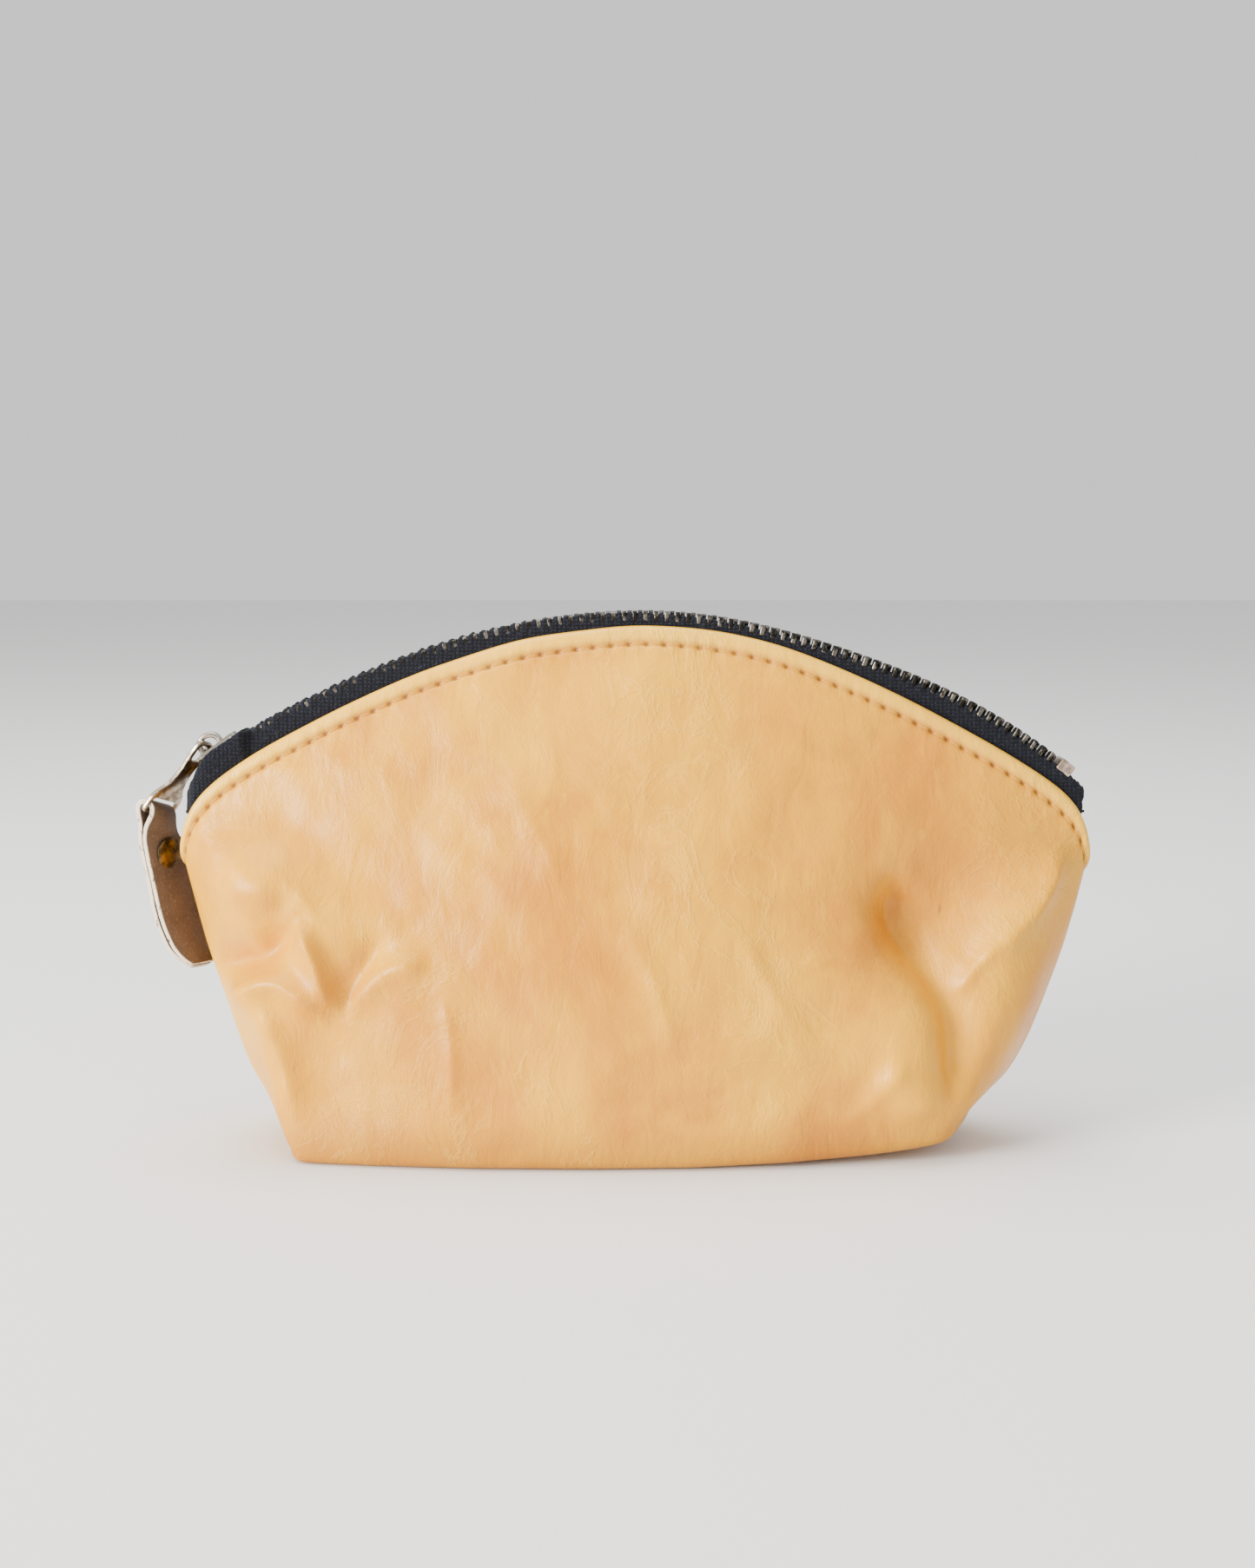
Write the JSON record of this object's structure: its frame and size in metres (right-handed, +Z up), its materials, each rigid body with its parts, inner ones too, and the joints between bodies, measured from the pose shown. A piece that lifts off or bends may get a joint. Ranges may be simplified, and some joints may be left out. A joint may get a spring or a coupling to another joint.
{
  "type": "zippered pouch",
  "caption": "Leather pouch with a boxed base, a metal zip curved over the top, and a slider whose pull tab carries a riveted leather strap.",
  "frame": {"origin": "centre of the base, on the surface the pouch stands on", "axes": "+X along the zip to its open end, -Y out of the front panel, +Z up"},
  "size_m": [0.216, 0.0562, 0.1222],
  "materials": {
    "leather": "smooth, semi-gloss honey tan",
    "lining": "plain matt cotton",
    "zip_tape": "matt woven cotton",
    "thread": "waxed thread",
    "zip_teeth": "antique nickel plate",
    "nickel": "polished nickel plate",
    "rivet_brass": "antique brass",
    "strap_leather": "smooth, with a raw cut edge"
  },
  "bodies": {
    "pouch": {"front_panel": "leather", "front_lining": "lining", "zip_tape_closed_end_front": "zip_tape", "zip_tape_open_end_front": "zip_tape", "zip_teeth_closed_end_front": "zip_teeth", "zip_teeth_open_end_front": "zip_teeth", "top_stop_front": "nickel", "back_panel": "leather", "back_lining": "lining", "zip_tape_closed_end_back": "zip_tape", "zip_tape_open_end_back": "zip_tape", "zip_teeth_closed_end_back": "zip_teeth", "zip_teeth_open_end_back": "zip_teeth", "top_stop_back": "nickel", "bottom_stop": "nickel", "side_seam_thread_left": "thread", "side_seam_thread_right": "thread", "base_seam_thread": "thread"},
    "mouth_front": {"mouth_panel_front": "leather", "mouth_lining_front": "lining", "zip_tape_front": "zip_tape", "zip_teeth_front": "zip_teeth", "topstitch_front": "thread"},
    "mouth_back": {"mouth_panel_back": "leather", "mouth_lining_back": "lining", "zip_tape_back": "zip_tape", "zip_teeth_back": "zip_teeth", "topstitch_back": "thread"},
    "slider": {"slider_body": "nickel", "slider_bridge": "nickel"},
    "pull_tab": {"pull_tab": "nickel"},
    "strap": {"pull_strap": "strap_leather", "rivet_cap": "rivet_brass", "rivet_post": "rivet_brass"}
  },
  "joints": [
    {"name": "mouth_front", "type": "hinge", "parent": "pouch", "child": "mouth_front", "pos_m": [0, 0, 0.092], "axis": [1, 0, 0], "range_deg": [0, 28], "stiffness_Nm_per_rad": 0.05},
    {"name": "mouth_back", "type": "hinge", "parent": "pouch", "child": "mouth_back", "pos_m": [0, 0, 0.092], "axis": [1, 0, 0], "range_deg": [-28, 0], "stiffness_Nm_per_rad": 0.05},
    {"name": "slider_travel", "type": "hinge", "parent": "pouch", "child": "slider", "pos_m": [0, 0, -0.0362], "axis": [0, 1, 0], "range_deg": [0, 72]},
    {"name": "tab_pivot", "type": "hinge", "parent": "slider", "child": "pull_tab", "pos_m": [-0.09739, 0, 0.09202], "axis": [0, 1, 0], "range_deg": [0, 198]},
    {"name": "strap_swing", "type": "hinge", "parent": "pull_tab", "child": "strap", "pos_m": [-0.109, 0, 0.0763], "axis": [0, 1, 0], "range_deg": [0, 75.6]}
  ],
  "couplings": [
    {"joint": "mouth_back", "follows": "mouth_front", "ratio": -1},
    {"joint": "tab_pivot", "follows": "slider_travel", "ratio": 2.75},
    {"joint": "strap_swing", "follows": "slider_travel", "ratio": 1.05}
  ]
}
